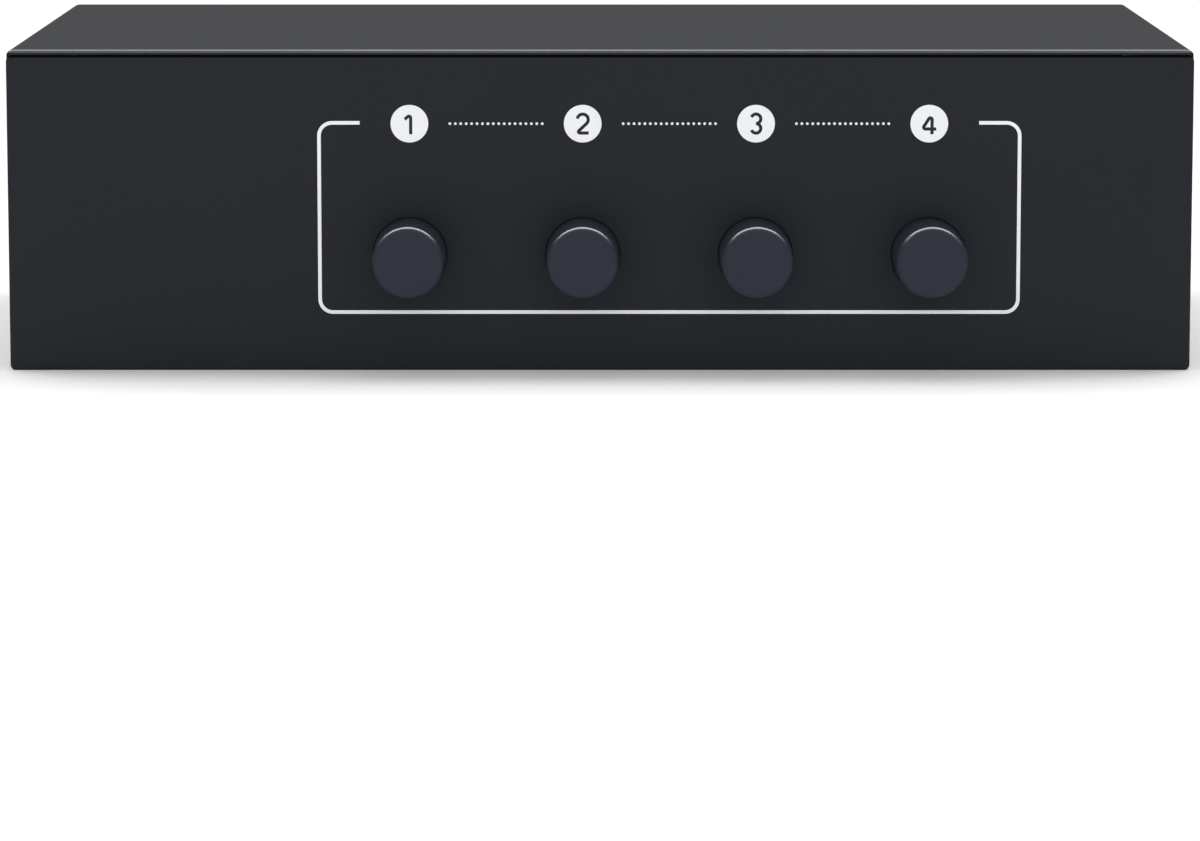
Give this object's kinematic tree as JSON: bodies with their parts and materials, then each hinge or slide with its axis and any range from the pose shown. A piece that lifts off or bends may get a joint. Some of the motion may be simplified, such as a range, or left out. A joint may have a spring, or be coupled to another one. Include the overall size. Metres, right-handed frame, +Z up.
{
  "type": "audio source selector switch box",
  "caption": "Flat black steel box with round push buttons in front and rows of phono and 3.5 mm sockets behind.",
  "frame": {"origin": "on the ground, below the middle of the whole outline, buttons and sockets included", "axes": "+X to the right when the buttons face the viewer, +Y from the buttons to the sockets, +Z up"},
  "size_m": [0.137, 0.0976, 0.0373],
  "materials": {
    "case_paint": "fine matt black powder coat on folded steel",
    "black_screw": "black plated steel",
    "board": "glass-epoxy laminate with solder mask",
    "plated_steel": "zinc plated steel",
    "socket_black": "moulded black, fine satin",
    "nickel_shell": "bright nickel plate",
    "white_insulator": "moulded white",
    "red_insulator": "moulded red",
    "socket_contact": "tinned brass",
    "jack_black": "moulded black, semi-gloss",
    "button_black": "moulded black, satin, bright rim",
    "switch_moulding": "moulded dark grey",
    "spring_steel": "drawn spring wire"
  },
  "bodies": {
    "case": {"board_screws": "plated_steel", "board_standoffs": "plated_steel", "chassis_tray": "case_paint", "cover_screws": "black_screw", "latch_spring": "spring_steel", "main_board": "board", "panel_screws": "black_screw", "phone_jack_contacts_in1": "socket_contact", "phone_jack_contacts_in2": "socket_contact", "phone_jack_contacts_in3": "socket_contact", "phone_jack_contacts_in4": "socket_contact", "phone_jack_contacts_out": "socket_contact", "phone_jack_in1": "jack_black", "phone_jack_in2": "jack_black", "phone_jack_in3": "jack_black", "phone_jack_in4": "jack_black", "phone_jack_out": "jack_black", "rca_centre_contacts": "socket_contact", "rca_housing_in1": "socket_black", "rca_housing_in2": "socket_black", "rca_housing_in3": "socket_black", "rca_housing_in4": "socket_black", "rca_housing_out": "socket_black", "rca_red_insulator_in1": "red_insulator", "rca_red_insulator_in2": "red_insulator", "rca_red_insulator_in3": "red_insulator", "rca_red_insulator_in4": "red_insulator", "rca_red_insulator_out": "red_insulator", "rca_shells_in1": "nickel_shell", "rca_shells_in2": "nickel_shell", "rca_shells_in3": "nickel_shell", "rca_shells_in4": "nickel_shell", "rca_shells_out": "nickel_shell", "rca_white_insulator_in1": "white_insulator", "rca_white_insulator_in2": "white_insulator", "rca_white_insulator_in3": "white_insulator", "rca_white_insulator_in4": "white_insulator", "rca_white_insulator_out": "white_insulator", "return_spring_1": "spring_steel", "return_spring_2": "spring_steel", "return_spring_3": "spring_steel", "return_spring_4": "spring_steel", "switch_body_1": "switch_moulding", "switch_body_2": "switch_moulding", "switch_body_3": "switch_moulding", "switch_body_4": "switch_moulding", "switch_frame": "plated_steel", "switch_pins": "socket_contact", "top_cover": "case_paint"},
    "button_1": {"button_cap_1": "button_black", "plunger_1": "switch_moulding"},
    "button_2": {"button_cap_2": "button_black", "plunger_2": "switch_moulding"},
    "button_3": {"button_cap_3": "button_black", "plunger_3": "switch_moulding"},
    "button_4": {"button_cap_4": "button_black", "plunger_4": "switch_moulding"},
    "latch": {"latch_bar": "plated_steel"}
  },
  "joints": [
    {"name": "button_1_press", "type": "slide", "parent": "case", "child": "button_1", "axis": [0, 1, 0], "range_m": [0, 0.005], "stiffness_N_per_m": 260, "springref_m": -0.002, "deforming": ["return_spring_1"]},
    {"name": "button_2_press", "type": "slide", "parent": "case", "child": "button_2", "axis": [0, 1, 0], "range_m": [0, 0.005], "stiffness_N_per_m": 260, "springref_m": -0.002, "deforming": ["return_spring_2"]},
    {"name": "button_3_press", "type": "slide", "parent": "case", "child": "button_3", "axis": [0, 1, 0], "range_m": [0, 0.005], "stiffness_N_per_m": 260, "springref_m": -0.002, "deforming": ["return_spring_3"]},
    {"name": "button_4_press", "type": "slide", "parent": "case", "child": "button_4", "axis": [0, 1, 0], "range_m": [0, 0.005], "stiffness_N_per_m": 260, "springref_m": -0.002, "deforming": ["return_spring_4"]},
    {"name": "latch_slide", "type": "slide", "parent": "case", "child": "latch", "axis": [-1, 0, 0], "range_m": [0, 0.0013], "stiffness_N_per_m": 200, "springref_m": 0.0035, "deforming": ["latch_spring"]}
  ]
}
